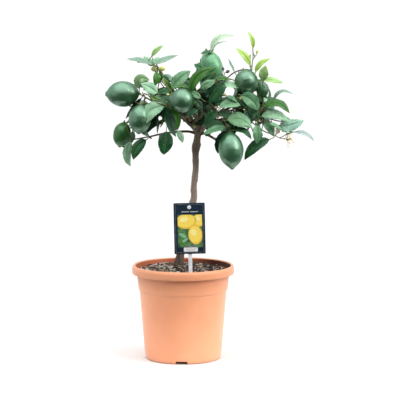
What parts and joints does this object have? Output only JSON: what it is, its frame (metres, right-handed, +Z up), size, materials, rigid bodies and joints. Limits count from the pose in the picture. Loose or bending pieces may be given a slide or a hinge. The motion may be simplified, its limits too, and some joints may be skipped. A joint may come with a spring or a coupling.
{
  "type": "potted lemon tree",
  "caption": "Young lemon tree grown as a small standard with a round leafy crown and green fruit, in a round plastic nursery pot with a plant label on a stick.",
  "frame": {"origin": "centre of the pot's flat underside, on the surface that the pot stands on", "axes": "+Z up along the trunk; -Y is the front, where the plant label stands; +X is the right of someone who looks at the front"},
  "size_m": [0.4123, 0.3092, 0.6415],
  "materials": {
    "pot_plastic": "satin",
    "potting_mix": "matte",
    "bark": "matte",
    "foliage": "satin",
    "young_foliage": "satin",
    "label_card": "gloss",
    "label_stick": "satin"
  },
  "bodies": {
    "root": {"pot": "pot_plastic", "soil": "potting_mix", "trunk": "bark", "bough_left": "bark", "bough_left_low": "bark", "bough_left_top": "bark", "bough_front": "bark", "bough_centre": "bark", "bough_right": "bark", "bough_right_low": "bark", "bough_right_mid": "bark", "bough_back_left": "bark", "bough_back_right": "bark", "mass_left_tip": "foliage", "mass_left_low": "foliage", "mass_left_mid": "foliage", "mass_left_top": "foliage", "mass_left_inner": "foliage", "mass_centre_front": "foliage", "mass_centre_top": "foliage", "mass_crown_core": "foliage", "mass_right_front": "foliage", "mass_low_right": "foliage", "mass_right_top": "foliage", "mass_top_shoot": "young_foliage", "mass_right_mid": "foliage", "mass_right_low": "foliage", "mass_right_tip": "foliage", "mass_back_left": "foliage", "mass_back_centre": "foliage", "mass_back_right": "foliage", "label_card": "label_card", "label_stick": "label_stick"}
  },
  "joints": []
}
